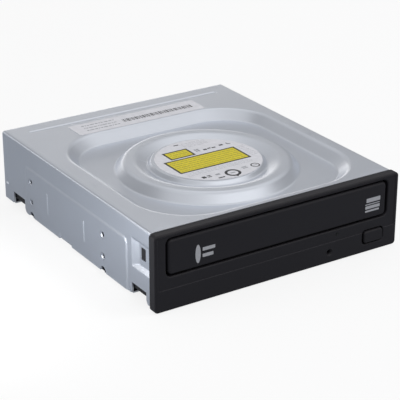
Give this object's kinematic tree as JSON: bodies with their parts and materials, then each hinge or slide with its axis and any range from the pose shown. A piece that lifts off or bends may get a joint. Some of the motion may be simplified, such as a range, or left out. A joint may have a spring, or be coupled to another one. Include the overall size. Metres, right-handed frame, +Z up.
{
  "type": "internal optical disc drive",
  "caption": "Half-height internal disc writer: drawn steel casing, black bezel with sliding disc tray, belt and rack loading gear, lifting traverse with spindle and pickup sled.",
  "frame": {"origin": "on the flat underside, below the middle of the whole drive's length and width", "axes": "+Z up, +Y from the front bezel to the rear sockets, +X to the right seen from the front"},
  "size_m": [0.148, 0.1658, 0.0414],
  "materials": {
    "cover_steel": "galvanised drawn sheet steel, satin",
    "steel_part": "plain bright steel",
    "bezel_black": "fine textured black ABS",
    "frame_black": "moulded black plastic",
    "tray_black": "fine satin black plastic",
    "gear_white": "natural acetal",
    "grey_moulding": "grey moulded plastic",
    "board_green": "solder masked circuit board",
    "chip_black": "epoxy package",
    "socket_black": "glass filled black plastic",
    "belt_rubber": "smooth rubber",
    "pad_rubber": "soft rubber",
    "magnet_steel": "nickel plated",
    "cast_metal": "die cast, satin",
    "lens_clear": "coated lens",
    "guide_clear": "clear light pipe",
    "lamp_lens": "tinted LED body",
    "screw_steel": "zinc plated",
    "label_white": "coated label with plain coloured fields"
  },
  "bodies": {
    "drive": {"top_cover": "cover_steel", "bottom_cover": "cover_steel", "front_bezel": "bezel_black", "main_frame": "frame_black", "clamper_bridge": "steel_part", "bridge_screws": "screw_steel", "main_board": "board_green", "main_chips": "chip_black", "sata_connector": "socket_black", "front_board": "board_green", "eject_switch": "chip_black", "status_led": "lamp_lens", "light_guide": "guide_clear", "loading_motor": "steel_part", "drive_belt": "belt_rubber", "cover_screws": "screw_steel", "top_label": "label_white", "rear_label": "label_white"},
    "tray": {"disc_tray": "tray_black", "tray_door": "bezel_black"},
    "button": {"eject_button": "bezel_black"},
    "tray_gear_body": {"tray_gear": "gear_white"},
    "pulley_gear_body": {"pulley_gear": "gear_white"},
    "motor_shaft": {"motor_pulley": "gear_white"},
    "slider": {"cam_slider": "grey_moulding"},
    "traverse": {"lift_frame": "frame_black", "traverse_deck": "steel_part", "dampers": "pad_rubber", "damper_screws": "screw_steel", "spindle_base": "cast_metal", "main_guide_rod": "magnet_steel", "sub_guide_rod": "magnet_steel", "sled_motor": "steel_part"},
    "turntable": {"spindle_rotor": "magnet_steel", "turntable_hub": "grey_moulding", "turntable_pad": "pad_rubber"},
    "sled": {"pickup_base": "cast_metal", "objective_lens": "lens_clear", "actuator_cover": "chip_black", "lead_nut": "gear_white"},
    "feed": {"lead_screw": "magnet_steel"},
    "clamper": {"clamper_disc": "gear_white", "clamper_yoke": "magnet_steel"}
  },
  "joints": [
    {"name": "tray_slide", "type": "slide", "parent": "drive", "child": "tray", "axis": [0, -1, 0], "range_m": [0, 0.13]},
    {"name": "eject_press", "type": "slide", "parent": "drive", "child": "button", "axis": [0, 1, 0], "range_m": [0, 0.0008], "stiffness_N_per_m": 900, "springref_m": -0.0003},
    {"name": "tray_gear_spin", "type": "hinge", "parent": "drive", "child": "tray_gear_body", "pos_m": [-0.049, -0.0581, 0.016], "axis": [0, 0, 1], "range_deg": [-1.56, 1065.63]},
    {"name": "pulley_gear_spin", "type": "hinge", "parent": "drive", "child": "pulley_gear_body", "pos_m": [-0.02968, -0.0581, 0.014], "axis": [0, 0, 1], "range_deg": [-3195.89, 3.69]},
    {"name": "motor_spin", "type": "hinge", "parent": "drive", "child": "motor_shaft", "pos_m": [0.002, -0.0601, 0.016], "axis": [0, 0, 1], "range_deg": [-13027.84, 13.51]},
    {"name": "cam_slide", "type": "slide", "parent": "drive", "child": "slider", "axis": [-1, 0, 0], "range_m": [0, 0.01801]},
    {"name": "traverse_lift", "type": "hinge", "parent": "drive", "child": "traverse", "pos_m": [0, 0.0629, 0.014], "axis": [1, 0, 0], "range_deg": [0, 4]},
    {"name": "disc_spin", "type": "hinge", "parent": "traverse", "child": "turntable", "pos_m": [0, -0.0136, 0.02], "axis": [0, 0, 1], "continuous": true},
    {"name": "sled_slide", "type": "slide", "parent": "traverse", "child": "sled", "axis": [0, 1, 0], "range_m": [0, 0.034]},
    {"name": "feed_spin", "type": "hinge", "parent": "traverse", "child": "feed", "pos_m": [-0.035, 0.0129, 0.0179], "axis": [0, 1, 0], "range_deg": [-4084.58, 4.58]},
    {"name": "clamper_spin", "type": "hinge", "parent": "drive", "child": "clamper", "pos_m": [0, -0.0136, 0.031], "axis": [0, 0, 1], "continuous": true}
  ],
  "couplings": [
    {"joint": "tray_gear_spin", "follows": "tray_slide", "rad_per_m": 142.86},
    {"joint": "pulley_gear_spin", "follows": "tray_slide", "rad_per_m": -428.57},
    {"joint": "motor_spin", "follows": "tray_slide", "rad_per_m": -1747.3},
    {"joint": "cam_slide", "follows": "traverse_lift", "m_per_rad": 0.25783},
    {"joint": "feed_spin", "follows": "sled_slide", "rad_per_m": -2094.4}
  ]
}
